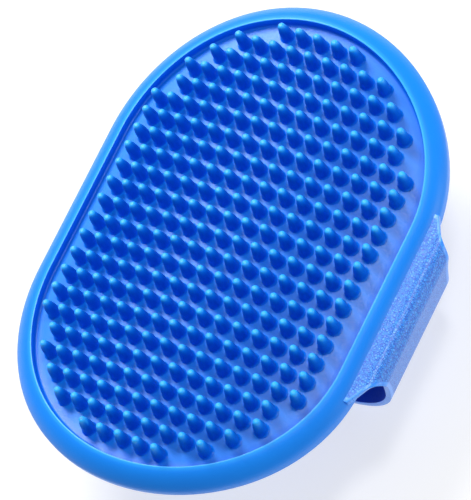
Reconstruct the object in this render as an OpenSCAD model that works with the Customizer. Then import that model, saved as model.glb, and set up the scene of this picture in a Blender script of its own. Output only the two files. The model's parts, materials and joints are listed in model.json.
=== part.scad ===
// Hand-held rubber grooming brush: an arched oval pad with moulded nubs, and a two-winged hand strap
// under it that closes with hook and loop tape. All sizes are in millimetres. The pad's long side runs
// along Y, the nubs point up, and the strap rests on the plane Z = 0.

/* [Pad] */
// Length of the pad, tip to tip
pad_l = 131.4; // [126:0.2:140]
// Width of the pad across its straight sides
pad_w = 91; // [89:1:94]
// Radius of the arch, at the top of the pad's floor
arch_r = 149; // [130:1:200]
// Thickness of the pad's floor
floor_t = 2.6; // [2:0.1:3.2]
// Width of the raised rim along the straight sides
rim_w = 4.6; // [4:0.1:5.2]
// Width of the raised rim at the two ends
rim_end_w = 5.3; // [4.6:0.1:6]
// Height of the rim above the floor
rim_h = 2.6; // [1.8:0.1:3]
// Height of the rim's outer wall
rim_t = 5.6; // [5.3:0.1:6]

/* [Nubs] */
// Spacing of the nubs, at their tips, both ways
nub_pitch = 5.05; // [4.9:0.05:5.2]
// Height of a nub above the floor
nub_h = 6.4; // [5:0.1:7]
// Diameter of a nub at its base
nub_base_d = 3.3; // [2.8:0.1:3.8]
// Diameter of a nub's round tip
nub_tip_d = 1.9; // [1.4:0.1:2.2]
// Share of the arch's slope that each nub follows: 0 stands every nub upright
nub_fan = 0.45; // [0.2:0.05:1]
// Columns of nubs in the longest rows
nub_cols = 15; // [11:2:15]
// Rows of nubs along the pad
nub_rows = 23; // [19:2:23]

/* [Strap] */
// Thickness of the strap
strap_t = 1.5; // [1.2:0.1:1.8]
// Width of the strap where it leaves the rim
root_w = 52; // [48:1:56]
// Width of the strap below its shoulders, and where its wings overlap
tab_w = 33; // [30:1:36]
// Drop from the pad's floor to the strap's lowest face
loop_drop = 39.2; // [38:0.2:42]
// Reach of the right wing's shoulder from the middle of the pad
shoulder_x = 51; // [50:0.5:52]
// Outer radius of the right wing's shoulder
shoulder_r = 3.6; // [3:0.2:4.2]
// Inward lean of the right wing below its shoulder, in degrees
lean = 12; // [10:1:14]
// Outer radius of the right wing's fold
fold_r = 24.6; // [23:0.2:26]
// Outward lean of the left wing below the rim, in degrees
left_lean = 20; // [18:1:22]
// How far each wing's tab passes the middle
tab_reach = 24; // [20:1:28]

/* [Closure] */
// Thickness of each fastening tape
tape_t = 0.9; // [0.7:0.1:1.1]
// Width of each fastening tape
tape_w = 26; // [20:1:27]
// Length of the hook tape
hook_l = 30; // [24:1:36]
// Length of the loop tape
loop_l = 42; // [30:1:44]
// Gap between the closed tapes
tape_gap = 0.2; // [0.1:0.1:0.4]
// Distance from one stitch to the next
stitch_pitch = 3; // [2.5:0.5:4]

/* [Hidden] */
$fn = 64;

// heights
floor_z = loop_drop;                              // crown of the pad's floor
arch_z = floor_z - arch_r;                        // axis of the arch, along Y
rim_top_r = arch_r + rim_h;
rim_side_z = arch_z + sqrt(rim_top_r * rim_top_r - pad_w * pad_w / 4);  // rim's top, at the straight sides
rim_foot_z = rim_side_z - rim_t;                  // rim's foot, at the straight sides

// nub field: the tips' columns are equal steps of angle about the arch's axis, rows are equal steps along Y
nub_tip_r = nub_tip_d / 2;
nub_top_r = arch_r + nub_h;
nub_step = asin(nub_pitch / nub_top_r);
nub_sink = 0.6;                                   // length of a nub's root inside the floor
half_cols = (nub_cols - 1) / 2;
half_rows = (nub_rows - 1) / 2;
field_r = half_cols + 0.35;                       // radius of the field's round ends, in pitches
field_straight = half_rows + 0.35 - field_r;      // half the field's straight length, in pitches
function row_reach(j) = floor(sqrt(field_r * field_r - pow(max(0, abs(j) - field_straight), 2)));

// strap, both wings drawn on the right side: an angle of lean is positive inward, negative outward,
// and a leg's offset is the distance of its outer face from the origin, along its own normal
left_drop_z = strap_t + 2 * tape_t + tape_gap;    // lowest face of the left wing, above the right one
hinge_gap = 0.5;                                  // slit between a root and its wing
function leg_x(a, offset, z, depth) = (offset - depth + z * sin(a)) / cos(a);
function fold_centre(a, offset, r, low_z) = [(offset - r + (low_z + r) * sin(a)) / cos(a), low_z + r];

// right wing: its root leaves the rim's wall level and turns down over a shoulder
root_top_z = rim_side_z - 1;                      // top of the right root, in the rim's wall
root_grip = 2;                                    // depth of the right root inside the rim
shoulder_c = [shoulder_x - shoulder_r, root_top_z - shoulder_r];
leg_offset = shoulder_c * [cos(lean), -sin(lean)] + shoulder_r;
hinge_z = shoulder_c[1] - 2.2;
pivot = [leg_x(lean, leg_offset, hinge_z, strap_t / 2), hinge_z];

// left wing: its root is let into the rim's wall and leans out below the rim's foot
left_root_top_z = rim_side_z - 2;
left_pivot = [pad_w / 2 - 0.2, rim_foot_z - 1.6];
left_offset = left_pivot * [cos(left_lean), sin(left_lean)] + strap_t / 2;
// radius of the left wing's fold, which brings it out as far as the right wing's shoulder
left_fold_r = (shoulder_x * cos(left_lean) - left_offset + left_drop_z * sin(left_lean))
    / (cos(left_lean) - sin(left_lean) - 1);

tab_corner_r = 5;
root_taper = 3;                                   // distance over which the right root narrows
neck_drop = 12;                                   // height over which a wing narrows below its hinge
edge_steps = 16;                                  // points along each narrowing edge
fold_steps = 24;                                  // points round each fold
shoulder_steps = 10;                              // points round each shoulder
// half width of the right root at distance x from the middle of the pad
function root_half_w(x) = tab_w / 2 + (root_w - tab_w) / 2 * exp(-max(0, x - pad_w / 2) / root_taper);
// half width of a wing's neck, where t runs from 0 at the foot of the neck to 1 at the hinge
function neck_w(half_w, t) = tab_w / 2 + (half_w - tab_w / 2) * (1 - cos(180 * t)) / 2;

// fastening tapes and their stitches
hook_x = -tab_reach + 2 + hook_l / 2;
loop_x = tab_reach - 2 - loop_l / 2;
hook_z = strap_t;
loop_z = left_drop_z - tape_t;
tape_corner_r = 2;
stitch_inset = 1.6;
stitch_w = 0.5;
stitch_h = 0.35;
stitch_gap = 0.7;                                 // gap between two stitches, along the seam

rubber_blue = [0.10, 0.42, 0.98];
strap_blue = [0.20, 0.53, 0.98];
tape_blue = [0.05, 0.22, 0.62];
thread_blue = [0.08, 0.30, 0.80];

// oval with straight sides and half-round ends, inset at its sides and at its ends
module oval(inset, end_inset) {
    r = pad_w / 2 - inset;
    s = pad_l / 2 - end_inset - r;
    union() {
        translate([-r, -s]) square([2 * r, 2 * s]);
        translate([0, s]) circle(r);
        translate([0, -s]) circle(r);
    }
}

// cylinder about the arch's axis
module arch_cylinder(r) {
    translate([0, pad_l, arch_z]) rotate([90, 0, 0]) cylinder(r = r, h = 2 * pad_l, $fn = 256);
}

// the part of an upright oval prism between two radii of the arch
module arch_band(outer_r, inner_r) {
    difference() {
        intersection() {
            children();
            arch_cylinder(outer_r);
        }
        arch_cylinder(inner_r);
    }
}

module floor_plate() {
    arch_band(arch_r, arch_r - floor_t)
        linear_extrude(height = floor_z + 10) oval(rim_w / 2, rim_end_w / 2);
}

module rim() {
    arch_band(rim_top_r, rim_top_r - rim_t)
        linear_extrude(height = floor_z + 10) difference() {
            oval(0, 0);
            oval(rim_w, rim_end_w);
        }
}

// one nub, standing on the plane z = 0
module nub() {
    cone_h = nub_h - nub_tip_r;
    translate([0, 0, -nub_sink])
        cylinder(d1 = nub_base_d, d2 = nub_tip_d, h = cone_h + nub_sink, $fn = 24);
    translate([0, 0, cone_h]) sphere(d = nub_tip_d, $fn = 24);
}

// every nub hangs from its tip's place on the arch and leans by a share of the slope there
module nub_field() {
    for (j = [-half_rows : half_rows])
        for (i = [-row_reach(j) : row_reach(j)])
            translate([nub_top_r * sin(i * nub_step), j * nub_pitch, arch_z + nub_top_r * cos(i * nub_step)])
                rotate([0, nub_fan * i * nub_step, 0]) translate([0, 0, -nub_h]) nub();
}

// outline of a wing seen from the side, with its half width and height at the hinge
module wing_side_outline(half_w, hinge) {
    top = hinge + strap_t;
    ts = [for (k = [0 : edge_steps]) k / edge_steps];
    edge = [for (t = ts) [neck_w(half_w, t), hinge - neck_drop * (1 - t)]];
    polygon(concat([[tab_w / 2, -1]], edge, [[half_w, top], [-half_w, top]],
                   [for (k = [edge_steps : -1 : 0]) [-edge[k][0], edge[k][1]]], [[-tab_w / 2, -1]]));
}

// a profile drawn in X and Z, given a width along Y
module across_y(width) {
    translate([0, width / 2, 0]) rotate([90, 0, 0]) linear_extrude(height = width) children();
}

// points on an arc about c, from angle a to angle b
function arc(c, r, a, b, steps) =
    [for (k = [0 : steps]) let (t = a + (b - a) * k / steps) c + r * [cos(t), sin(t)]];

// profile of a wing below its hinge: round hinge end, leaning leg, fold and flat tab
module wing_profile(a, offset, r, low_z, hinge) {
    c = fold_centre(a, offset, r, low_z);
    polygon(concat([[-tab_reach, low_z + strap_t], [-tab_reach, low_z]],
                   arc(c, r, -90, -a, fold_steps),
                   arc(hinge, strap_t / 2, -a, 180 - a, 8),
                   arc(c, r - strap_t, -a, -90, fold_steps)));
}

// plan of the tab's end, with rounded corners, joined to everything outboard of it
module tab_plan() {
    hull() {
        for (side = [-1, 1])
            translate([-tab_reach + tab_corner_r, side * (tab_w / 2 - tab_corner_r)])
                circle(tab_corner_r, $fn = 32);
        translate([20, -tab_w / 2]) square([1, tab_w]);
    }
    translate([20, -40]) square([60, 80]);
}

// a wing cut from its profile, to its half width at the hinge and its tab's plan
module wing(half_w, hinge) {
    intersection() {
        across_y(root_w + 2) children();
        rotate([90, 0, 90]) translate([0, 0, -2 * tab_reach])
            linear_extrude(height = 2 * tab_reach + shoulder_x + 5) wing_side_outline(half_w, hinge);
        translate([0, 0, -1]) linear_extrude(height = floor_z) tab_plan();
    }
}

// profile of the right root: a flange let into the rim, the shoulder and the top of the leg, down to the slit
module root_profile() {
    along = [sin(lean), cos(lean)];
    across = strap_t / 2 * [cos(lean), -sin(lean)];
    foot = pivot + (strap_t / 2 + hinge_gap) * along;
    inner_x = pad_w / 2 - root_grip;
    polygon(concat([foot + across], arc(shoulder_c, shoulder_r, -lean, 90, shoulder_steps),
                   [[inner_x, root_top_z], [inner_x, root_top_z - strap_t]],
                   arc(shoulder_c, shoulder_r - strap_t, 90, -lean, shoulder_steps), [foot - across]));
}

// plan of the right root: it narrows quickly outside the rim
module root_plan() {
    xs = [for (k = [0 : edge_steps]) pad_w / 2 + (shoulder_x + 1 - pad_w / 2) * k / edge_steps];
    inner_x = pad_w / 2 - root_grip - 1;
    polygon(concat([[inner_x, -root_w / 2]], [for (x = xs) [x, -root_half_w(x)]],
                   [for (k = [edge_steps : -1 : 0]) [xs[k], root_half_w(xs[k])]], [[inner_x, root_w / 2]]));
}

module shoulder_root() {
    intersection() {
        across_y(root_w + 2) root_profile();
        linear_extrude(height = rim_side_z + 1) root_plan();
    }
}

// the slot in the rim's wall that takes the right root's flange, open to the outside
module root_slot() {
    inner_x = pad_w / 2 - root_grip;
    translate([inner_x, -root_w / 2, root_top_z - strap_t]) cube([root_grip + 5, root_w, strap_t]);
}

// the left root, drawn on the right side: it stands in the rim's wall above the hinge
module leaning_root() {
    a = -left_lean;
    across = strap_t / 2 * [cos(a), -sin(a)];
    foot = left_pivot + (strap_t / 2 + hinge_gap) * [sin(a), cos(a)];
    across_y(root_w)
        polygon([foot + across, foot - across,
                 [leg_x(a, left_offset, left_root_top_z, strap_t), left_root_top_z],
                 [leg_x(a, left_offset, left_root_top_z, 0), left_root_top_z]]);
}

// the rebate in the rim that takes the left root, open to the outside
module root_rebate() {
    a = -left_lean;
    low = rim_foot_z - 4;
    across_y(root_w)
        polygon([[leg_x(a, left_offset, low, strap_t), low], [pad_w, low], [pad_w, left_root_top_z],
                 [leg_x(a, left_offset, left_root_top_z, strap_t), left_root_top_z]]);
}

// flat tape with rounded corners
module tape(l) {
    linear_extrude(height = tape_t) hull()
        for (sx = [-1, 1])
            for (sy = [-1, 1])
                translate([sx * (l / 2 - tape_corner_r), sy * (tape_w / 2 - tape_corner_r)])
                    circle(tape_corner_r, $fn = 32);
}

// one stitch along X: a flat ring of thread through the wing and the tape
module stitch(depth) {
    l = stitch_pitch - stitch_gap;
    difference() {
        translate([-l / 2, -stitch_w / 2, 0]) cube([l, stitch_w, depth]);
        translate([-l / 2 + stitch_w, -stitch_w, stitch_h])
            cube([l - 2 * stitch_w, 2 * stitch_w, depth - 2 * stitch_h]);
    }
}

// stitches round a tape of length l, through the depth of wing and tape together
module seam(l, depth) {
    run_x = l - 2 * stitch_inset;
    run_y = tape_w - 2 * stitch_inset;
    count_x = floor(run_x / stitch_pitch);
    count_y = floor(run_y / stitch_pitch);
    for (side = [-1, 1]) {
        for (k = [0 : count_x - 1])
            translate([(k - (count_x - 1) / 2) * stitch_pitch, side * run_y / 2, 0]) stitch(depth);
        for (k = [0 : count_y - 1])
            translate([side * run_x / 2, (k - (count_y - 1) / 2) * stitch_pitch, 0])
                rotate([0, 0, 90]) stitch(depth);
    }
}

module pad() {
    color(rubber_blue) {
        difference() {
            union() {
                floor_plate();
                rim();
            }
            root_slot();
            mirror([1, 0, 0]) root_rebate();
        }
        nub_field();
    }
}

module right_wing_root() {
    color(strap_blue) shoulder_root();
}

module left_wing_root() {
    color(strap_blue) mirror([1, 0, 0]) leaning_root();
}

module right_wing() {
    color(strap_blue) wing(root_half_w(pivot[0]), hinge_z)
        wing_profile(lean, leg_offset, fold_r, 0, pivot);
}

module left_wing() {
    color(strap_blue) mirror([1, 0, 0]) wing(root_w / 2, left_pivot[1])
        wing_profile(-left_lean, left_offset, left_fold_r, left_drop_z, left_pivot);
}

module hook_tape() {
    color(tape_blue) translate([hook_x, 0, hook_z]) tape(hook_l);
}

module loop_tape() {
    color(tape_blue) translate([loop_x, 0, loop_z]) tape(loop_l);
}

module hook_tape_stitching() {
    color(thread_blue) translate([hook_x, 0, 0]) seam(hook_l, strap_t + tape_t);
}

module loop_tape_stitching() {
    color(thread_blue) translate([loop_x, 0, loop_z]) seam(loop_l, strap_t + tape_t);
}

pad();
right_wing_root();
left_wing_root();
right_wing();
left_wing();
hook_tape();
loop_tape();
hook_tape_stitching();
loop_tape_stitching();
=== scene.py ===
import json
import math
import random

import bmesh
import bpy
from bpy.props import FloatProperty, FloatVectorProperty, IntProperty, PointerProperty
from bpy.types import Operator, Panel, PropertyGroup
from mathutils import Matrix, Vector


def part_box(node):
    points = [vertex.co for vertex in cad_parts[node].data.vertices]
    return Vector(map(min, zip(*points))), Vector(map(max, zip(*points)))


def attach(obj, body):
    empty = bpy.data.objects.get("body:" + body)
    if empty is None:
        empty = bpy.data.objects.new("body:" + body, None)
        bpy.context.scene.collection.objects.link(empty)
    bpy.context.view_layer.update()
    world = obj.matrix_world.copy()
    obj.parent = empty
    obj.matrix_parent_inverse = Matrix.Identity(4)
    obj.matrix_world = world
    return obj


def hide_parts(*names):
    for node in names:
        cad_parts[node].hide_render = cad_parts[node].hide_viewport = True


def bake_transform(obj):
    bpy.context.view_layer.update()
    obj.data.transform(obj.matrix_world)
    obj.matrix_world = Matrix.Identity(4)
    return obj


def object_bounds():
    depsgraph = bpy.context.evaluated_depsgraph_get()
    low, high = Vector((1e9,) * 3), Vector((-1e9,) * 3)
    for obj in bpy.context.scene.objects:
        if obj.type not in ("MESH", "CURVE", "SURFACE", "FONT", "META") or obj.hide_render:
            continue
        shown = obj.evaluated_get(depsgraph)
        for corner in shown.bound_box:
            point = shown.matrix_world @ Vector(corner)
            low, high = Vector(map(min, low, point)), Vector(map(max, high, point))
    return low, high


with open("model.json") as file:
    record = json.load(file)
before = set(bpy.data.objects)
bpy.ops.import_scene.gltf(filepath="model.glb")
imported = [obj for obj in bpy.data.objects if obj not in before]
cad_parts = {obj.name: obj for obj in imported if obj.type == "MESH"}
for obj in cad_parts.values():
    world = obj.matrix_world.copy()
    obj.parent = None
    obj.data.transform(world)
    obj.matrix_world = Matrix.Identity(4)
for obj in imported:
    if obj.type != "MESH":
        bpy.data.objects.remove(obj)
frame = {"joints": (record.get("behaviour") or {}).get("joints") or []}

bl_info = {
    "name": "Rubber Grooming Brush",
    "version": (1, 0, 0),
    "blender": (4, 5, 0),
    "location": "View3D > Sidebar > Brush",
    "description": "Arched rubber pad with moulded nubs and a two-winged hand strap",
    "category": "Add Mesh",
}

MM = 0.001
SHARP_ANGLE = math.radians(60)  # edges sharper than this are eased
CAD_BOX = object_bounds()
PAD_LOW, PAD_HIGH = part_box("pad")
RIGHT_LOW, RIGHT_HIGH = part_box("right_wing")
LEFT_LOW, LEFT_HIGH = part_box("left_wing")
HOOK_LOW, HOOK_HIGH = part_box("hook_tape")
LOOP_LOW, LOOP_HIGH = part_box("loop_tape")
RIGHT_HINGE, LEFT_HINGE = (joint["pos_m"] for joint in frame["joints"][:2])


# ---------------------------------------------------------------- user sizes and colours

class PadSettings(PropertyGroup):
    arch_radius: FloatProperty(
        name="Arch radius", description="Radius of the pad's arch, at the top of its floor",
        default=149 * MM, unit="LENGTH")
    floor_thickness: FloatProperty(
        name="Floor thickness", description="Thickness of the pad's floor",
        default=2.6 * MM, unit="LENGTH")
    rim_width: FloatProperty(
        name="Rim width", description="Width of the rim along the straight sides",
        default=4.6 * MM, unit="LENGTH")
    rim_end_width: FloatProperty(
        name="Rim end width", description="Width of the rim at the two ends",
        default=5.3 * MM, unit="LENGTH")
    rim_height: FloatProperty(
        name="Rim height", description="Height of the rim's crest above the floor",
        default=2.6 * MM, unit="LENGTH")
    rim_depth: FloatProperty(
        name="Rim depth", description="Drop from the rim's crest to its foot",
        default=5.6 * MM, unit="LENGTH")
    rim_slope: FloatProperty(
        name="Rim slope", description="Drop of the rim's rounded shoulder from crest to outer wall",
        default=2.8 * MM, unit="LENGTH")
    colour: FloatVectorProperty(
        name="Rubber colour", description="Colour of the pad's floor and rim",
        default=(0.002, 0.225, 0.84), subtype="COLOR", size=3, min=0, max=1)
    # painted highlight: paler colour painted on the nub tips and along the rim's crest, where light catches
    # them
    painted_highlight_colour: FloatVectorProperty(
        name="Tip highlight colour", description="Painted highlight colour of the nub tips and the rim's crest",
        default=(0.025, 0.41, 1.0), subtype="COLOR", size=3, min=0, max=1)
    # painted shade: deeper colour painted into the nub bodies; the random mottle also mixes towards it
    painted_shade_and_mottle_colour: FloatVectorProperty(
        name="Nub shade colour", description="Painted shade colour of the nub bodies, also the mottle's darker patches",
        default=(0.0, 0.125, 0.66), subtype="COLOR", size=3, min=0, max=1)


class NubSettings(PropertyGroup):
    pitch: FloatProperty(
        name="Pitch", description="Spacing of the nubs at their tips",
        default=5.05 * MM, unit="LENGTH")
    height: FloatProperty(
        name="Height", description="Height of a nub above the floor",
        default=6.4 * MM, unit="LENGTH")
    base_diameter: FloatProperty(
        name="Base diameter", description="Diameter of a nub just above its flared foot",
        default=3.3 * MM, unit="LENGTH")
    tip_diameter: FloatProperty(
        name="Tip diameter", description="Diameter of a nub's round tip",
        default=1.9 * MM, unit="LENGTH")
    fan: FloatProperty(
        name="Fan", description="Share of the arch's slope that each nub follows", default=0.45)
    columns: IntProperty(
        name="Columns", description="Columns of nubs in the longest rows", default=15)
    rows: IntProperty(
        name="Rows", description="Rows of nubs along the pad", default=23)


class StrapSettings(PropertyGroup):
    thickness: FloatProperty(
        name="Thickness", description="Thickness of the strap", default=1.5 * MM, unit="LENGTH")
    root_width: FloatProperty(
        name="Root width", description="Width of the strap where it leaves the rim",
        default=52 * MM, unit="LENGTH")
    tab_width: FloatProperty(
        name="Tab width", description="Width of the strap where its wings overlap",
        default=33 * MM, unit="LENGTH")
    taper: FloatProperty(
        name="Taper", description="Distance over which the strap narrows outside the rim",
        default=4 * MM, unit="LENGTH")
    shoulder_radius: FloatProperty(
        name="Shoulder radius", description="Outer radius of the right wing's turn beside the rim",
        default=3.6 * MM, unit="LENGTH")
    fold_radius: FloatProperty(
        name="Fold radius", description="Outer radius of the right wing's fold",
        default=24.6 * MM, unit="LENGTH")
    lean: FloatProperty(
        name="Lean", description="Inward lean of the right wing below its shoulder",
        default=math.radians(12), subtype="ANGLE")
    left_lean: FloatProperty(
        name="Left lean", description="Outward lean of the left wing below the rim",
        default=math.radians(20), subtype="ANGLE")
    corner_radius: FloatProperty(
        name="Corner radius", description="Radius of the corners of each wing's end",
        default=5 * MM, unit="LENGTH")
    edge_rounding: FloatProperty(
        name="Edge rounding", description="Rounding of the strap's cut edges",
        default=0.42 * MM, unit="LENGTH")
    grain_size: FloatProperty(
        name="Grain size", description="Size of one pebble of the leather grain",
        default=0.62 * MM, unit="LENGTH")
    colour: FloatVectorProperty(
        name="Strap colour", description="Colour of the grained strap",
        default=(0.012, 0.23, 0.90), subtype="COLOR", size=3, min=0, max=1)
    # also the base of the painted shade on the strap's inner face
    crease_and_lining_shade_colour: FloatVectorProperty(
        name="Crease colour", description="Colour between the pebbles of the grain",
        default=(0.002, 0.08, 0.55), subtype="COLOR", size=3, min=0, max=1)


class TapeSettings(PropertyGroup):
    backing: FloatProperty(
        name="Backing", description="Thickness of the tapes' woven backing",
        default=0.35 * MM, unit="LENGTH")
    corner_radius: FloatProperty(
        name="Corner radius", description="Radius of the tapes' corners",
        default=2 * MM, unit="LENGTH")
    hook_pitch: FloatProperty(
        name="Hook pitch", description="Spacing of the hooks", default=1.25 * MM, unit="LENGTH")
    loop_count: IntProperty(
        name="Loops", description="Number of loops in the nap", default=1500)
    stitch_pitch: FloatProperty(
        name="Stitch pitch", description="Distance from one stitch to the next",
        default=3 * MM, unit="LENGTH")
    thread_diameter: FloatProperty(
        name="Thread diameter", description="Thickness of one stitch", default=0.5 * MM, unit="LENGTH")
    stitch_inset: FloatProperty(
        name="Stitch inset", description="Distance from the tape's edge to its seam",
        default=1.6 * MM, unit="LENGTH")
    colour: FloatVectorProperty(
        name="Tape colour", description="Colour of both tapes",
        default=(0.003, 0.045, 0.36), subtype="COLOR", size=3, min=0, max=1)
    thread_colour: FloatVectorProperty(
        name="Thread colour", description="Colour of the stitching",
        default=(0.01, 0.13, 0.72), subtype="COLOR", size=3, min=0, max=1)


class StageSettings(PropertyGroup):
    focal_length: FloatProperty(
        name="Focal length", description="Focal length of the camera, in millimetres", default=332.9)
    camera_azimuth: FloatProperty(
        name="Azimuth", description="Camera's direction round the brush, from its near end",
        default=math.radians(57.2), subtype="ANGLE")
    camera_elevation: FloatProperty(
        name="Elevation", description="Camera's height angle",
        default=math.radians(60.5), subtype="ANGLE")
    camera_roll: FloatProperty(
        name="Roll", description="Turn of the camera about its own axis",
        default=math.radians(-34.05), subtype="ANGLE")
    camera_distance: FloatProperty(
        name="Distance", description="Distance of the camera from the pad",
        default=1.1207, unit="LENGTH")
    floor_glow: FloatProperty(
        name="Floor glow", description="Light that the white sweep gives off by itself", default=0.62)
    surround: FloatProperty(
        name="Surround", description="Strength of the even white surroundings", default=0.35)
    aim: FloatVectorProperty(
        name="Aim", description="Point that the camera looks at",
        default=(3.7 * MM, -1.1 * MM, 39.5 * MM), subtype="XYZ_LENGTH", size=3)


# ---------------------------------------------------------------- mesh helpers

def finish_piece(name, bm, material, smooth=True, angle=math.radians(40)):
    """Writes a bmesh to a new object at the origin."""
    mesh = bpy.data.meshes.new(name)
    bm.to_mesh(mesh)
    bm.free()
    for one in (material if isinstance(material, (list, tuple)) else [material]):
        mesh.materials.append(one)
    if smooth:
        mesh.shade_smooth()
        mesh.set_sharp_from_angle(angle=angle)
    piece = bpy.data.objects.new(name, mesh)
    bpy.context.scene.collection.objects.link(piece)
    return piece


def profile_chain(bm, points):
    """Vertices through the given points, joined by edges."""
    verts = [bm.verts.new(p) for p in points]
    edges = [bm.edges.new(pair) for pair in zip(verts, verts[1:])]
    return verts, edges


def lathe(bm, points, steps):
    """A full turn of a profile about Z, closed at its seam and its poles."""
    verts, edges = profile_chain(bm, [(r, 0, z) for r, z in points])
    bmesh.ops.spin(bm, geom=verts + edges, cent=(0, 0, 0), axis=(0, 0, 1), angle=2 * math.pi,
                   steps=steps, use_merge=True, use_duplicate=False)
    bmesh.ops.remove_doubles(bm, verts=bm.verts, dist=1e-7)
    bmesh.ops.recalc_face_normals(bm, faces=bm.faces)


def template(build):
    """A mesh made once, to be copied many times into a piece."""
    bm = bmesh.new()
    build(bm)
    mesh = bpy.data.meshes.new("template")
    bm.to_mesh(mesh)
    bm.free()
    return mesh


def place_copies(bm, mesh, places):
    """Adds a copy of mesh to bm at each matrix of places."""
    for place in places:
        first = len(bm.verts)
        bm.from_mesh(mesh)
        bm.verts.ensure_lookup_table()
        bmesh.ops.transform(bm, matrix=place, verts=bm.verts[first:])


def clamp(value, low=0.0, high=1.0):
    return max(low, min(high, value))


# ---------------------------------------------------------------- material helpers

def new_material(name, roughness, specular=0.5, **sockets):
    """A material with one Principled shader. Returns it with its node tree and shader."""
    material = bpy.data.materials.new(name)
    material.use_nodes = True
    tree = material.node_tree
    shader = tree.nodes["Principled BSDF"]
    shader.inputs["Roughness"].default_value = roughness
    shader.inputs["Specular IOR Level"].default_value = specular
    for key, value in sockets.items():
        shader.inputs[key.replace("_", " ")].default_value = value
    return material, tree, shader


def add_node(tree, kind, **values):
    """A node with its inputs set by name, or its properties where no input has that name."""
    node = tree.nodes.new(kind)
    for key, value in values.items():
        label = key.replace("_", " ")
        if hasattr(node, key):
            setattr(node, key, value)
        else:
            node.inputs[label].default_value = value
    return node


def mix_colours(tree, factor, first, second):
    """A colour mix. first and second are colours or output sockets."""
    mix = tree.nodes.new("ShaderNodeMix")
    mix.data_type = "RGBA"
    tree.links.new(factor, mix.inputs["Factor"])
    for socket, value in ((mix.inputs[6], first), (mix.inputs[7], second)):
        if isinstance(value, bpy.types.NodeSocket):
            tree.links.new(value, socket)
        else:
            socket.default_value = (*value, 1)
    return mix.outputs[2]


def remap(tree, value, low, high, to_low, to_high):
    """A value mapped from one range to another, clamped."""
    node = add_node(tree, "ShaderNodeMapRange", From_Min=low, From_Max=high, To_Min=to_low, To_Max=to_high)
    tree.links.new(value, node.inputs["Value"])
    return node.outputs["Result"]


def add_bump(tree, shader, height, distance, strength=1.0):
    bump = add_node(tree, "ShaderNodeBump", Distance=distance, Strength=strength)
    tree.links.new(height, bump.inputs["Height"])
    tree.links.new(bump.outputs["Normal"], shader.inputs["Normal"])


def mottle_group():
    """Node group: soft cloudy variation and fine specks, from any coordinates in metres."""
    name = "Moulding mottle"
    if name in bpy.data.node_groups:
        return bpy.data.node_groups[name]
    group = bpy.data.node_groups.new(name, "ShaderNodeTree")
    group.interface.new_socket("Vector", in_out="INPUT", socket_type="NodeSocketVector")
    for label, default in (("Cloud Scale", 60.0), ("Speck Scale", 2500.0)):
        socket = group.interface.new_socket(label, in_out="INPUT", socket_type="NodeSocketFloat")
        socket.default_value = default
    group.interface.new_socket("Cloud", in_out="OUTPUT", socket_type="NodeSocketFloat")
    group.interface.new_socket("Speck", in_out="OUTPUT", socket_type="NodeSocketFloat")
    inside = group.nodes.new("NodeGroupInput")
    outside = group.nodes.new("NodeGroupOutput")
    for label, scale, detail in (("Cloud", "Cloud Scale", 3.0), ("Speck", "Speck Scale", 2.0)):
        noise = add_node(group, "ShaderNodeTexNoise", Detail=detail, Roughness=0.55)
        group.links.new(inside.outputs["Vector"], noise.inputs["Vector"])
        group.links.new(inside.outputs[scale], noise.inputs["Scale"])
        group.links.new(noise.outputs["Fac"], outside.inputs[label])
    return group


def add_mottle(tree, coordinates, cloud_scale, speck_scale):
    node = tree.nodes.new("ShaderNodeGroup")
    node.node_tree = mottle_group()
    node.inputs["Cloud Scale"].default_value = cloud_scale
    node.inputs["Speck Scale"].default_value = speck_scale
    tree.links.new(coordinates, node.inputs["Vector"])
    return node


# ---------------------------------------------------------------- materials

def rubber_material(pad):
    """Moulded rubber with a satin skin, its colour carrying painted light: a painted highlight on the nub
    tips and the rim's crest, painted shade in the nub bodies and in the corner at the rim's inner foot.
    """
    material, tree, shader = new_material("moulded rubber", 0.34, 0.32)
    place = tree.nodes.new("ShaderNodeTexCoord").outputs["Object"]
    painted_light = add_node(tree, "ShaderNodeAttribute", attribute_name="painted_light").outputs["Fac"]
    mottle = add_mottle(tree, place, 45.0, 2600.0)
    # painted light read from the mesh: low values mix in painted shade, high values a painted highlight
    painted_shade = remap(tree, painted_light, 0.0, 0.5, 1.0, 0.0)
    pale = remap(tree, painted_light, 0.5, 1.0, 0.0, 1.0)
    body = mix_colours(tree, painted_shade, tuple(pad.colour), tuple(pad.painted_shade_and_mottle_colour))
    # painted highlight towards the nub tips and along the rim's crest
    tipped = mix_colours(tree, pale, body, tuple(pad.painted_highlight_colour))
    cloudy = remap(tree, mottle.outputs["Cloud"], 0.35, 0.65, 0.0, 0.16)
    colour = mix_colours(tree, cloudy, tipped, tuple(pad.painted_shade_and_mottle_colour))
    tree.links.new(colour, shader.inputs["Base Color"])
    tree.links.new(remap(tree, mottle.outputs["Speck"], 0.3, 0.7, 0.29, 0.42), shader.inputs["Roughness"])
    add_bump(tree, shader, mottle.outputs["Speck"], 0.02 * MM)
    return material


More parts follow.
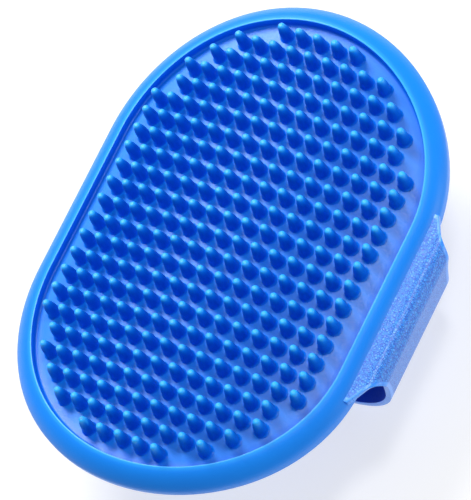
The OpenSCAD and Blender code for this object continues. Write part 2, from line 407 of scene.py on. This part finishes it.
def grain_material(strap):
    """Strap rubber with a pebbled leather grain on its skin."""
    material, tree, shader = new_material(
        "grained strap rubber", 0.42, 0.6, Coat_Weight=0.35, Coat_Roughness=0.3)
    place = tree.nodes.new("ShaderNodeUVMap").outputs["UV"]
    warp = add_node(tree, "ShaderNodeTexNoise", Scale=1 / (3 * strap.grain_size), Detail=2.0)
    tree.links.new(place, warp.inputs["Vector"])
    shift = tree.nodes.new("ShaderNodeVectorMath")
    shift.operation = "MULTIPLY_ADD"
    tree.links.new(warp.outputs["Color"], shift.inputs[0])
    shift.inputs[1].default_value = (strap.grain_size,) * 3
    tree.links.new(place, shift.inputs[2])
    cells = add_node(tree, "ShaderNodeTexVoronoi", Scale=1 / strap.grain_size, Randomness=1.0)
    cells.feature = "DISTANCE_TO_EDGE"
    tree.links.new(shift.outputs["Vector"], cells.inputs["Vector"])
    inset = add_node(tree, "ShaderNodeAttribute", attribute_name="inset").outputs["Fac"]
    band = remap(tree, inset, 1.0, 1.5, 1.0, 0.0)
    smoothed = tree.nodes.new("ShaderNodeMath")
    smoothed.operation = "MAXIMUM"
    tree.links.new(remap(tree, cells.outputs["Distance"], 0.0, 0.32, 0.0, 1.0), smoothed.inputs[0])
    tree.links.new(band, smoothed.inputs[1])
    pebble = smoothed.outputs["Value"]
    mottle = add_mottle(tree, place, 1300.0, 2200.0)
    dark = mix_colours(tree, pebble, tuple(strap.crease_and_lining_shade_colour), tuple(strap.colour))
    pale = tuple(min(1.0, c * 1.7 + 0.03) for c in strap.colour)
    cloudy = remap(tree, mottle.outputs["Cloud"], 0.40, 0.66, 0.0, 0.5)
    tree.links.new(mix_colours(tree, cloudy, dark, pale), shader.inputs["Base Color"])
    tree.links.new(remap(tree, pebble, 0.0, 1.0, 0.55, 0.36), shader.inputs["Roughness"])
    add_bump(tree, shader, pebble, 0.12 * MM)
    return material


def smooth_edge_material(strap):
    """The strap's smooth cut edge."""
    material, tree, shader = new_material("smooth strap rubber", 0.3, 0.5, Coat_Weight=0.2)
    place = tree.nodes.new("ShaderNodeUVMap").outputs["UV"]
    mottle = add_mottle(tree, place, 90.0, 1800.0)
    pale = tuple(min(1.0, c * 1.35 + 0.02) for c in strap.colour)
    cloudy = remap(tree, mottle.outputs["Cloud"], 0.3, 0.7, 0.0, 1.0)
    tree.links.new(mix_colours(tree, cloudy, tuple(strap.colour), pale), shader.inputs["Base Color"])
    tree.links.new(remap(tree, mottle.outputs["Speck"], 0.3, 0.7, 0.26, 0.38), shader.inputs["Roughness"])
    add_bump(tree, shader, mottle.outputs["Speck"], 0.01 * MM)
    return material


def painted_shade_lining_material(strap):
    """The strap's matt inner face, with painted shade: it is coloured deeper than its grained skin."""
    material, tree, shader = new_material("strap inner face painted shade", 0.7, 0.2)
    place = tree.nodes.new("ShaderNodeUVMap").outputs["UV"]
    mottle = add_mottle(tree, place, 90.0, 1500.0)
    # painted shade: the whole inner face is darkened, with random mottle between two dark blues
    painted_shade = tuple(0.35 * c for c in strap.crease_and_lining_shade_colour)
    tree.links.new(mix_colours(tree, mottle.outputs["Cloud"], painted_shade, tuple(strap.crease_and_lining_shade_colour)),
                   shader.inputs["Base Color"])
    tree.links.new(remap(tree, mottle.outputs["Speck"], 0.3, 0.7, 0.62, 0.78), shader.inputs["Roughness"])
    add_bump(tree, shader, mottle.outputs["Speck"], 0.02 * MM)
    return material


def tape_material(tapes, name, rows_per_metre):
    """Woven nylon tape with fine cross ribs."""
    material, tree, shader = new_material(name, 0.55, 0.4, Sheen_Weight=0.3)
    place = tree.nodes.new("ShaderNodeTexCoord").outputs["Object"]
    weave = add_node(tree, "ShaderNodeTexWave", Scale=rows_per_metre, Distortion=0.6, Detail=2.0)
    tree.links.new(place, weave.inputs["Vector"])
    pale = tuple(min(1.0, c * 2.2 + 0.01) for c in tapes.colour)
    colour = mix_colours(tree, weave.outputs["Fac"], tuple(tapes.colour), pale)
    tree.links.new(colour, shader.inputs["Base Color"])
    tree.links.new(remap(tree, weave.outputs["Fac"], 0.0, 1.0, 0.65, 0.45), shader.inputs["Roughness"])
    add_bump(tree, shader, weave.outputs["Fac"], 0.05 * MM)
    return material


def thread_material(tapes):
    """Twisted polyester thread."""
    material, tree, shader = new_material("sewing thread", 0.45, 0.4, Sheen_Weight=0.2)
    place = tree.nodes.new("ShaderNodeTexCoord").outputs["Object"]
    twist = add_node(tree, "ShaderNodeTexWave", Scale=900.0, Distortion=1.0)
    twist.bands_direction = "DIAGONAL"
    tree.links.new(place, twist.inputs["Vector"])
    pale = tuple(min(1.0, c * 1.6 + 0.03) for c in tapes.thread_colour)
    colour = mix_colours(tree, twist.outputs["Fac"], tuple(tapes.thread_colour), pale)
    tree.links.new(colour, shader.inputs["Base Color"])
    tree.links.new(remap(tree, twist.outputs["Fac"], 0.0, 1.0, 0.55, 0.4), shader.inputs["Roughness"])
    add_bump(tree, shader, twist.outputs["Fac"], 0.05 * MM)
    return material


# ---------------------------------------------------------------- pad

class BrushPad(Operator):
    """Make the arched pad: floor, rim and nubs, moulded in one"""
    bl_idname = "brush.pad"
    bl_label = "Pad"

    END_STEPS = 60
    STRAIGHT_STEPS = 6
    FLOOR_RINGS = 22

    def arch_drop(self, x, radius):
        """Height of the arch at x, below its crown."""
        return math.sqrt(radius * radius - x * x) - radius

    def section(self, pad, half_width):
        """Half section of pad and rim, from the middle of the floor's top, over the rim, to the
        middle of its underside, as (distance from the middle, height over the floor, painted light).
        Painted light is 0.5 for none, lower for painted shade and higher for a painted highlight."""
        crest = half_width - pad.rim_width
        fillet = 0.7 * MM
        points = [(crest * k / self.FLOOR_RINGS - fillet * k / self.FLOOR_RINGS, 0.0, 0.5)
                  for k in range(self.FLOOR_RINGS)]
        # painted shade: the fillet at the rim's inner foot gets a low value, darker in the corner
        points += [(crest - fillet * (1 - math.sin(a)), fillet * (1 - math.cos(a)), 0.2)
                   for a in (math.radians(t) for t in (0, 22, 45, 67, 85))]
        # painted highlight: a thin pale line along the rim's crest
        points += [(crest + 0.02 * MM, pad.rim_height - 0.30 * MM, 0.5),
                   (crest + 0.10 * MM, pad.rim_height - 0.08 * MM, 0.8),
                   (crest + 0.28 * MM, pad.rim_height, 1.0),
                   (crest + 0.46 * MM, pad.rim_height - 0.05 * MM, 0.8)]
        shoulder = pad.rim_width - 0.3 * MM
        points += [(crest + 0.3 * MM + shoulder * math.sin(a),
                    pad.rim_height - 0.05 * MM - pad.rim_slope * (1 - math.cos(a)), 0.5)
                   for a in (math.radians(t) for t in range(12, 91, 6))]
        foot = pad.rim_height - pad.rim_depth
        rounding = 0.6 * MM
        points += [(half_width - rounding * (1 - math.cos(a)), foot + rounding * (1 - math.sin(a)), 0.5)
                   for a in (math.radians(t) for t in (0, 30, 60, 90))]
        under = -pad.floor_thickness
        points += [(crest + 0.5 * MM, foot, 0.5), (crest, foot + 0.2 * MM, 0.5),
                   (crest - 0.3 * MM, under - 0.1 * MM, 0.5), (crest - 0.9 * MM, under, 0.5)]
        points += [((crest - 0.9 * MM) * (1 - k / self.FLOOR_RINGS), under, 0.5)
                   for k in range(1, self.FLOOR_RINGS + 1)]
        return points

    def widen_ends(self, bm, pad, half_width, half_length, half_straight):
        """Widens the rim from its side width to its end width, and lets its shoulder fall
        further towards the foot at the ends."""
        crest = half_width - pad.rim_width
        extra = half_length - half_width - half_straight
        foot = pad.rim_height - pad.rim_depth
        for vert in bm.verts:
            x, y = vert.co.x, vert.co.y
            past = max(0.0, abs(y) - half_straight)
            reach = math.hypot(x, past)
            share = clamp((reach - crest) / pad.rim_width)
            end = (past / reach) ** 2 if past else 0.0
            if past:
                vert.co.y = y + math.copysign(extra * share, y)
            else:
                vert.co.y = y * (1 + extra * share / half_straight)
            vert.co.z += (foot - vert.co.z) * 0.4 * share ** 2 * end

    def add_shell(self, bm, painted_light, pad, half_width, half_straight):
        """Floor and rim: the section turned through half a circle, drawn out along the straight
        sides and mirrored."""
        section = self.section(pad, half_width)
        verts, edges = profile_chain(bm, [(x, half_straight, z) for x, z, _ in section])
        for vert, (_, _, value) in zip(verts, section):
            vert[painted_light] = value
        bmesh.ops.spin(bm, geom=verts + edges, cent=(0, half_straight, 0), axis=(0, 0, 1),
                       angle=math.pi, steps=self.END_STEPS, use_duplicate=False)
        bmesh.ops.remove_doubles(bm, verts=bm.verts, dist=1e-7)
        front = [e for e in bm.edges if e.is_boundary and
                 all(abs(v.co.y - half_straight) < 1e-7 for v in e.verts)]
        for _ in range(self.STRAIGHT_STEPS):
            made = bmesh.ops.extrude_edge_only(bm, edges=front)["geom"]
            moved = [g for g in made if isinstance(g, bmesh.types.BMVert)]
            bmesh.ops.translate(bm, verts=moved, vec=(0, -half_straight / self.STRAIGHT_STEPS, 0))
            front = [g for g in made if isinstance(g, bmesh.types.BMEdge) and
                     all(v in moved for v in g.verts)]
        bmesh.ops.mirror(bm, geom=bm.verts[:] + bm.edges[:] + bm.faces[:], axis="Y", merge_dist=1e-6)
        bmesh.ops.remove_doubles(bm, verts=bm.verts, dist=1e-7)

    def nub(self, bm, nubs):
        """One nub: flared foot, swelling body and a round tip with a faint dimple."""
        base, tip, height = nubs.base_diameter / 2, nubs.tip_diameter / 2, nubs.height
        foot, waist = 0.6 * MM, height - 0.85 * tip
        points = [(base * 1.32, -0.16 * MM), (base * 1.18, 0.05 * MM), (base * 1.07, 0.24 * MM), (base, foot)]
        for t in (0.25, 0.45, 0.63, 0.79, 0.91, 1.0):
            points.append((tip + (base - tip) * (1 - t ** 2.1), foot + (waist - foot) * t))
        points += [(tip * math.cos(a), waist + 0.85 * tip * math.sin(a))
                   for a in (math.radians(t) for t in (25, 48, 68))]
        points += [(tip * 0.17, height - 0.09 * MM), (0, height - 0.12 * MM)]
        lathe(bm, points, 14)

    def nub_places(self, pad, nubs, floor_z):
        """Matrices of all nubs. The tips lie on an arch, in equal steps of angle and equal steps
        along Y, and each nub leans by a share of the arch's slope."""
        top = pad.arch_radius + nubs.height
        step = math.asin(nubs.pitch / top)
        half_cols, half_rows = (nubs.columns - 1) // 2, (nubs.rows - 1) // 2
        field_radius = half_cols + 0.35
        field_straight = half_rows + 0.35 - field_radius
        axis_z = floor_z - pad.arch_radius
        for row in range(-half_rows, half_rows + 1):
            past = max(0.0, abs(row) - field_straight)
            reach = math.floor(math.sqrt(field_radius ** 2 - past ** 2))
            for column in range(-reach, reach + 1):
                angle = column * step
                tip = (top * math.sin(angle), row * nubs.pitch, axis_z + top * math.cos(angle))
                yield (Matrix.Translation(tip) @ Matrix.Rotation(nubs.fan * angle, 4, "Y")
                       @ Matrix.Translation((0, 0, -nubs.height)))

    def execute(self, context):
        pad, nubs = context.scene.brush_pad, context.scene.brush_nubs
        half_width = (PAD_HIGH.x - PAD_LOW.x) / 2
        half_length = (PAD_HIGH.y - PAD_LOW.y) / 2
        half_straight = half_length - pad.rim_end_width - (half_width - pad.rim_width)
        floor_z = PAD_HIGH.z - nubs.height
        bm = bmesh.new()
        painted_light = bm.verts.layers.float.new("painted_light")
        self.add_shell(bm, painted_light, pad, half_width, half_straight)
        self.widen_ends(bm, pad, half_width, half_length, half_straight)
        for vert in bm.verts:
            vert.co.z += floor_z + self.arch_drop(vert.co.x, pad.arch_radius)
        bmesh.ops.recalc_face_normals(bm, faces=bm.faces)
        one_nub = template(lambda one: self.nub(one, nubs))
        shell_verts = len(bm.verts)
        place_copies(bm, one_nub, self.nub_places(pad, nubs, floor_z))
        bm.verts.ensure_lookup_table()
        heights = [v.co.z for v in one_nub.vertices]
        for index, vert in enumerate(bm.verts[shell_verts:]):
            up = clamp(heights[index % len(heights)] / nubs.height)
            # painted light on the nubs: painted shade in the body, easing towards the floor colour at the
            # foot, and a painted highlight on the tip
            vert[painted_light] = 0.30 * clamp(1 - up / 0.12) + 1.0 * clamp((up - 0.60) / 0.36) ** 1.4
        piece = finish_piece("pad", bm, rubber_material(pad))
        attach(piece, "pad")
        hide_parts("pad")
        return {"FINISHED"}


# ---------------------------------------------------------------- strap

class BrushStrap(Operator):
    """Make the two wings of the hand strap, each in one with its fixed root"""
    bl_idname = "brush.strap"
    bl_label = "Strap wings"

    # stretch of each wing above and below its hinge
    BEND_ABOVE = 2.5 * MM
    BEND_BELOW = 6 * MM
    LEFT_HINGE_DROP = 1 * MM  # from where the left wing starts to narrow, down to its hinge
    LENGTH_STEPS = 190
    WIDTH_STEPS = 48

    def right_route(self, strap):
        """The right wing's outer face seen from the side, as (length, centre, radius, first angle)
        for each turn and (length, start, end) for each straight. It leaves the rim level, turns
        down over a shoulder, leans inward, folds and runs flat to its end."""
        root_low, root_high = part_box("right_wing_root")
        round_r, fold_r, lean = strap.shoulder_radius, strap.fold_radius, strap.lean
        shoulder = Vector((root_high.x - round_r, root_high.z - round_r))
        outward = Vector((math.cos(lean), -math.sin(lean)))
        offset = shoulder.dot(outward) + round_r
        fold_z = RIGHT_LOW.z + fold_r
        fold = Vector(((offset - fold_r + fold_z * math.sin(lean)) / math.cos(lean), fold_z))
        leg_top, leg_foot = shoulder + round_r * outward, fold + fold_r * outward
        return [
            (shoulder.x - root_low.x, Vector((root_low.x, root_high.z)), Vector((shoulder.x, root_high.z))),
            (round_r * (math.pi / 2 + lean), shoulder, round_r, math.pi / 2),
            ((leg_top - leg_foot).length, leg_top, leg_foot),
            (fold_r * (math.pi / 2 - lean), fold, fold_r, -lean),
            (fold.x - RIGHT_LOW.x, Vector((fold.x, RIGHT_LOW.z)), Vector((RIGHT_LOW.x, RIGHT_LOW.z))),
        ]

    def left_route(self, strap):
        """The left wing's outer face, drawn on the right side: it leans outward from inside the
        rim's wall, folds and runs flat to its end."""
        root_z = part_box("left_wing_root")[1].z
        lean = strap.left_lean
        hinge = Vector((-LEFT_HINGE[0], LEFT_HINGE[2]))
        outward = Vector((math.cos(lean), math.sin(lean)))
        offset = hinge.dot(outward) + strap.thickness / 2
        reach, low_z = -LEFT_LOW.x, LEFT_LOW.z
        fold_r = (reach * outward.x - offset + low_z * outward.y) / (outward.x - outward.y - 1)
        fold = Vector((reach - fold_r, low_z + fold_r))
        leg_top = Vector(((offset - root_z * outward.y) / outward.x, root_z))
        leg_foot = fold + fold_r * outward
        return [
            ((leg_top - leg_foot).length, leg_top, leg_foot),
            (fold_r * (math.pi / 2 + lean), fold, fold_r, lean),
            (fold.x + LEFT_HIGH.x, Vector((fold.x, low_z)), Vector((-LEFT_HIGH.x, low_z))),
        ]

    def at(self, route, s):
        """The point (x, z) at length s along a route."""
        for step in route[:-1]:
            if s < step[0]:
                break
            s -= step[0]
        else:
            step = route[-1]
        if len(step) == 3:
            return step[1].lerp(step[2], s / step[0])
        angle = step[3] - s / step[2]
        return step[1] + step[2] * Vector((math.cos(angle), math.sin(angle)))

    def half_width(self, strap, past_wall, to_end):
        """Half width at a distance past the rim: it narrows quickly, and the end's corners are
        round."""
        flare = (strap.root_width - strap.tab_width) / 2
        half = strap.tab_width / 2 + flare * math.exp(-past_wall / strap.taper)
        corner = strap.corner_radius
        if to_end < corner:
            half += math.sqrt(max(0.0, corner ** 2 - (corner - to_end) ** 2)) - corner
        return half

    def wing(self, strap, name, side, route, grip):
        """One wing from inside the rim to its rounded end, as a walled sheet. grip is its length
        inside the rim."""
        length = sum(step[0] for step in route)
        bm = bmesh.new()
        uv = bm.loops.layers.uv.new("strap")
        inset = bm.verts.layers.float.new("inset")
        bmesh.ops.create_grid(bm, x_segments=self.LENGTH_STEPS, y_segments=self.WIDTH_STEPS, size=0.5)
        flat = {}
        for vert in bm.verts:
            t, across = vert.co.x + 0.5, 2 * vert.co.y
            # rows crowd together towards the end's rounded corners
            s = length * (1 - (1 - t) ** 1.15)
            x, z = self.at(route, s)
            half = self.half_width(strap, max(0.0, s - grip), length - s)
            flat[vert.index] = (s, across * half)
            vert[inset] = half * (1 - abs(across)) / MM
            vert.co = (side * x, across * half, z)
        bm.verts.ensure_lookup_table()
        for face in bm.faces:
            for loop in face.loops:
                loop[uv].uv = flat[loop.vert.index]
        bmesh.ops.recalc_face_normals(bm, faces=bm.faces)
        tab_face = min(bm.faces, key=lambda f: f.calc_center_median().z)
        if tab_face.normal.z > 0:
            bmesh.ops.reverse_faces(bm, faces=bm.faces)
        skin = set(bm.faces)
        bmesh.ops.solidify(bm, geom=bm.faces[:], thickness=strap.thickness)
        for face in bm.faces:
            at_edge = any(other in skin for edge in face.edges for other in edge.link_faces)
            # index 2 is the inner face, which carries the painted shade
            face.material_index = 0 if face in skin else 1 if at_edge else 2
        return self.edge_rounded(bm, name, strap)

    def edge_rounded(self, bm, name, strap):
        """Rounds the sheet's rim edges and finishes the wing."""
        rim = [e for e in bm.edges if len(e.link_faces) == 2 and e.calc_face_angle(0) > SHARP_ANGLE]
        bmesh.ops.bevel(bm, geom=rim, offset=strap.edge_rounding, offset_type="OFFSET",
                        affect="EDGES", segments=3, profile=0.5, material=1, clamp_overlap=True)
        looks = [grain_material(strap), smooth_edge_material(strap), painted_shade_lining_material(strap)]
        return finish_piece(name, bm, looks)

    def execute(self, context):
        strap = context.scene.brush_strap
        right, left = self.right_route(strap), self.left_route(strap)
        # the right root lies level in the rim; the left one stands in it, down to the rim's foot
        right_grip = PAD_HIGH.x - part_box("right_wing_root")[0].x
        left_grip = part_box("left_wing_root")[1].z - LEFT_HINGE[2] - self.LEFT_HINGE_DROP
        for side, name, route, grip, hinge in ((1, "right_wing", right, right_grip, RIGHT_HINGE),
                                               (-1, "left_wing", left, left_grip, LEFT_HINGE)):
            piece = self.wing(strap, name, side, route, grip)
            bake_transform(piece)
            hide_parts(name, name + "_root")
        return {"FINISHED"}


# ---------------------------------------------------------------- fastening tapes

class BrushTapes(Operator):
    """Make the hook tape and the loop tape"""
    bl_idname = "brush.tapes"
    bl_label = "Hook and loop tapes"

    CORNER_STEPS = 6
    EASED_EDGE = 0.08 * MM

    def backing(self, bm, low, high, backing_low, backing_high, corner):
        """Tape backing: an outline with rounded corners, drawn up to its thickness, and both its
        faces drawn in a little to ease the edges."""
        ease = self.EASED_EDGE
        rise = backing_high - backing_low - 2 * ease
        bmesh.ops.create_grid(bm, x_segments=1, y_segments=1, size=0.5)
        bmesh.ops.scale(bm, verts=bm.verts, vec=(high.x - low.x, high.y - low.y, 1))
        bmesh.ops.bevel(bm, geom=bm.verts[:], offset=corner, affect="VERTICES",
                        segments=self.CORNER_STEPS, profile=0.5, material=-1)
        centre = ((low.x + high.x) / 2, (low.y + high.y) / 2, backing_low + ease)
        bmesh.ops.translate(bm, verts=bm.verts, vec=centre)
        made = bmesh.ops.extrude_face_region(bm, geom=bm.faces[:], use_keep_orig=True)["geom"]
        moved = [g for g in made if isinstance(g, bmesh.types.BMVert)]
        bmesh.ops.translate(bm, verts=moved, vec=(0, 0, rise))
        bmesh.ops.recalc_face_normals(bm, faces=bm.faces)
        caps = [f for f in bm.faces if len(f.verts) > self.CORNER_STEPS]
        bmesh.ops.inset_individual(bm, faces=caps, thickness=ease, depth=ease, use_even_offset=True)

    def bent_wire(self, bm, bend, turn, wire, stem, sides, steps):
        """A short wire that stands up by stem and then bends over through an angle."""
        bmesh.ops.create_circle(bm, segments=sides, radius=wire, cap_ends=False)
        edges = [e for e in bm.edges]
        made = bmesh.ops.extrude_edge_only(bm, edges=edges)["geom"]
        moved = [g for g in made if isinstance(g, bmesh.types.BMVert)]
        bmesh.ops.translate(bm, verts=moved, vec=(0, 0, stem))
        top = [g for g in made if isinstance(g, bmesh.types.BMEdge) and all(v in moved for v in g.verts)]
        bmesh.ops.spin(bm, geom=moved + top, cent=(bend, 0, stem), axis=(0, 1, 0), angle=turn, steps=steps,
                       use_duplicate=False)
        bmesh.ops.recalc_face_normals(bm, faces=bm.faces)
        bmesh.ops.holes_fill(bm, edges=[e for e in bm.edges if e.is_boundary], sides=sides)

    def hook_tape(self, tapes):
        """Backing with rows of hooks that lean to and fro."""
        bm = bmesh.new()
        top = HOOK_LOW.z + tapes.backing
        self.backing(bm, HOOK_LOW, HOOK_HIGH, HOOK_LOW.z, top, tapes.corner_radius)
        bend = 0.16 * MM
        stem = HOOK_HIGH.z - top - bend - 0.05 * MM
        hook = template(lambda one: self.bent_wire(one, bend, math.radians(205), 0.05 * MM, stem, 5, 5))
        margin = 2.2 * MM
        count_x = int((HOOK_HIGH.x - HOOK_LOW.x - 2 * margin) / tapes.hook_pitch)
        count_y = int((HOOK_HIGH.y - HOOK_LOW.y - 2 * margin) / tapes.hook_pitch)
        centre = (HOOK_LOW + HOOK_HIGH) / 2
        places = []
        for i in range(count_x + 1):
            for j in range(count_y + 1):
                x = centre.x + (i - count_x / 2) * tapes.hook_pitch
                y = centre.y + (j - count_y / 2) * tapes.hook_pitch
                turn = math.pi * ((i + j) % 2)
                places.append(Matrix.Translation((x, y, top)) @ Matrix.Rotation(turn, 4, "Z"))
        place_copies(bm, hook, places)
        piece = finish_piece("hook_tape", bm, tape_material(tapes, "hook tape nylon", 500.0))
        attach(piece, "right_wing")
        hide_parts("hook_tape")

    def loop_tape(self, tapes):
        """Backing with a nap of loose loops on its underside, facing the hooks."""
        bm = bmesh.new()
        under = LOOP_HIGH.z - tapes.backing
        self.backing(bm, LOOP_LOW, LOOP_HIGH, under, LOOP_HIGH.z, tapes.corner_radius)
        bend = 0.23 * MM
        loop = template(lambda one: self.bent_wire(one, bend, math.radians(190), 0.035 * MM, 0.12 * MM, 3, 5))
        margin = 1.2 * MM
        scatter = random.Random(7)
        places = []
        for _ in range(tapes.loop_count):
            x = scatter.uniform(LOOP_LOW.x + margin, LOOP_HIGH.x - margin)
            y = scatter.uniform(LOOP_LOW.y + margin, LOOP_HIGH.y - margin)
            spin = Matrix.Rotation(scatter.uniform(0, 2 * math.pi), 4, "Z")
            tilt = Matrix.Rotation(math.pi + scatter.uniform(-0.5, 0.5), 4, "X")
            places.append(Matrix.Translation((x, y, under)) @ spin @ tilt)
        place_copies(bm, loop, places)
        piece = finish_piece("loop_tape", bm, tape_material(tapes, "loop tape nylon", 700.0))
        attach(piece, "left_wing")
        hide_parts("loop_tape")

    def execute(self, context):
        tapes = context.scene.brush_tapes
        self.hook_tape(tapes)
        self.loop_tape(tapes)
        return {"FINISHED"}


class BrushStitching(Operator):
    """Make the stitches that hold each tape on its wing"""
    bl_idname = "brush.stitching"
    bl_label = "Stitching"

    def bead(self, bm, length, thread):
        """One stitch as it shows on a face: a plump length of thread along X."""
        bmesh.ops.create_uvsphere(bm, u_segments=8, v_segments=6, radius=0.5)
        bmesh.ops.rotate(bm, verts=bm.verts, cent=(0, 0, 0), matrix=Matrix.Rotation(math.pi / 2, 3, "Y"))
        bmesh.ops.scale(bm, verts=bm.verts, vec=(length, thread, thread * 0.8))

    def seam_places(self, low, high, tapes, levels):
        """Stitch places round a tape, on each of the given heights."""
        centre = (low + high) / 2
        run_x = high.x - low.x - 2 * tapes.stitch_inset
        run_y = high.y - low.y - 2 * tapes.stitch_inset
        count_x, count_y = int(run_x / tapes.stitch_pitch), int(run_y / tapes.stitch_pitch)
        slant = math.radians(5)
        for z in levels:
            for side in (-1, 1):
                for k in range(count_x):
                    x = centre.x + (k - (count_x - 1) / 2) * tapes.stitch_pitch
                    place = Matrix.Translation((x, centre.y + side * run_y / 2, z))
                    yield place @ Matrix.Rotation(slant, 4, "Z")
                for k in range(count_y):
                    y = centre.y + (k - (count_y - 1) / 2) * tapes.stitch_pitch
                    place = Matrix.Translation((centre.x + side * run_x / 2, y, z))
                    yield place @ Matrix.Rotation(math.pi / 2 + slant, 4, "Z")

    def execute(self, context):
        tapes = context.scene.brush_tapes
        thread = tapes.thread_diameter
        strap_thickness = context.scene.brush_strap.thickness
        bead = template(lambda one: self.bead(one, tapes.stitch_pitch * 0.8, thread))
        material = thread_material(tapes)
        rows = (("hook_tape_stitching", "right_wing", HOOK_LOW, HOOK_HIGH,
                 (RIGHT_LOW.z + 0.2 * MM, HOOK_LOW.z + tapes.backing + 0.05 * MM)),
                ("loop_tape_stitching", "left_wing", LOOP_LOW, LOOP_HIGH,
                 (LOOP_HIGH.z - tapes.backing - 0.05 * MM, LEFT_LOW.z + strap_thickness + 0.02 * MM)))
        for name, body, low, high, levels in rows:
            bm = bmesh.new()
            place_copies(bm, bead, self.seam_places(low, high, tapes, levels))
            piece = finish_piece(name, bm, material)
            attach(piece, body)
            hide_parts(name)
        return {"FINISHED"}


# ---------------------------------------------------------------- stage

class BrushStage(Operator):
    """Make the floor, the lights, the surroundings and the camera"""
    bl_idname = "brush.stage"
    bl_label = "Stage"

    # name, place, side and power of each softbox
    SOFTBOXES = (
        ("key softbox", (-0.55, 0.40, 0.80), 0.45, 11.0),
        ("side softbox", (0.80, 0.30, 0.20), 0.40, 2.0),
        ("top softbox", (0.18, 0.27, 0.98), 0.16, 3.0),
    )

    def floor(self, stage):
        """Plain white sweep under the brush."""
        material, tree, shader = new_material(
            "white card", 0.9, 0.1, Emission_Color=(1, 1, 1, 1), Emission_Strength=stage.floor_glow)
        place = tree.nodes.new("ShaderNodeTexCoord").outputs["Object"]
        mottle = add_mottle(tree, place, 8.0, 900.0)
        paper = remap(tree, mottle.outputs["Cloud"], 0.3, 0.7, 0.0, 1.0)
        colour = mix_colours(tree, paper, (0.44, 0.44, 0.44), (0.47, 0.47, 0.47))
        tree.links.new(colour, shader.inputs["Base Color"])
        bm = bmesh.new()
        bmesh.ops.create_grid(bm, x_segments=2, y_segments=2, size=1.5)
        bmesh.ops.translate(bm, verts=bm.verts, vec=(0, 0, CAD_BOX[0].z - 0.3 * MM))
        finish_piece("floor", bm, material, smooth=False)

    def area_light(self, name, place, size, power, aim):
        """A square softbox."""
        data = bpy.data.lights.new(name, "AREA")
        data.shape = "SQUARE"
        data.size = size
        data.energy = power
        light = bpy.data.objects.new(name, data)
        light.location = place
        light.rotation_mode = "QUATERNION"
        light.rotation_quaternion = (Vector(aim) - Vector(place)).to_track_quat("-Z", "Y")
        bpy.context.scene.collection.objects.link(light)

    def camera(self, stage):
        data = bpy.data.cameras.new("camera")
        data.lens = stage.focal_length
        data.clip_end = 10
        camera = bpy.data.objects.new("camera", data)
        azimuth, elevation = stage.camera_azimuth, stage.camera_elevation
        back = Vector((math.sin(azimuth) * math.cos(elevation), -math.cos(azimuth) * math.cos(elevation),
                       math.sin(elevation)))
        camera.location = Vector(stage.aim) + stage.camera_distance * back
        level = (-back).to_track_quat("-Z", "Y").to_matrix().to_4x4()
        camera.rotation_mode = "QUATERNION"
        camera.rotation_quaternion = (level @ Matrix.Rotation(stage.camera_roll, 4, "Z")).to_quaternion()
        bpy.context.scene.collection.objects.link(camera)
        bpy.context.scene.camera = camera

    def execute(self, context):
        stage = context.scene.brush_stage
        world = bpy.data.worlds.new("studio")
        world.use_nodes = True
        background = world.node_tree.nodes["Background"]
        background.inputs["Color"].default_value = (1, 1, 1, 1)
        background.inputs["Strength"].default_value = stage.surround
        context.scene.world = world
        context.scene.view_settings.view_transform = "Standard"
        self.floor(stage)
        aim = Vector(stage.aim)
        for name, place, side, power in self.SOFTBOXES:
            self.area_light(name, place, side, power, aim)
        self.camera(stage)
        return {"FINISHED"}


# ---------------------------------------------------------------- add-on

class BrushPanel(Panel):
    """Sizes, colours and build buttons of the grooming brush"""
    bl_idname = "VIEW3D_PT_brush"
    bl_label = "Grooming Brush"
    bl_space_type = "VIEW_3D"
    bl_region_type = "UI"
    bl_category = "Brush"

    def draw(self, context):
        for name, group in SETTINGS:
            box = self.layout.box()
            box.label(text=group.__name__.replace("Settings", ""))
            for key in group.__annotations__:
                box.prop(getattr(context.scene, name), key)
        for step in STEPS:
            self.layout.operator(step.bl_idname)


SETTINGS = (("brush_pad", PadSettings), ("brush_nubs", NubSettings), ("brush_strap", StrapSettings),
            ("brush_tapes", TapeSettings), ("brush_stage", StageSettings))
STEPS = (BrushStage, BrushPad, BrushStrap, BrushTapes, BrushStitching)


def register():
    for _, group in SETTINGS:
        bpy.utils.register_class(group)
    for step in STEPS + (BrushPanel,):
        bpy.utils.register_class(step)
    for name, group in SETTINGS:
        setattr(bpy.types.Scene, name, PointerProperty(type=group))


def unregister():
    for name, _ in SETTINGS:
        delattr(bpy.types.Scene, name)
    for step in STEPS + (BrushPanel,):
        bpy.utils.unregister_class(step)
    for _, group in SETTINGS:
        bpy.utils.unregister_class(group)


def main():
    register()
    bpy.ops.brush.stage()
    bpy.ops.brush.pad()
    bpy.ops.brush.strap()
    bpy.ops.brush.tapes()
    bpy.ops.brush.stitching()


if __name__ == "__main__":
    main()
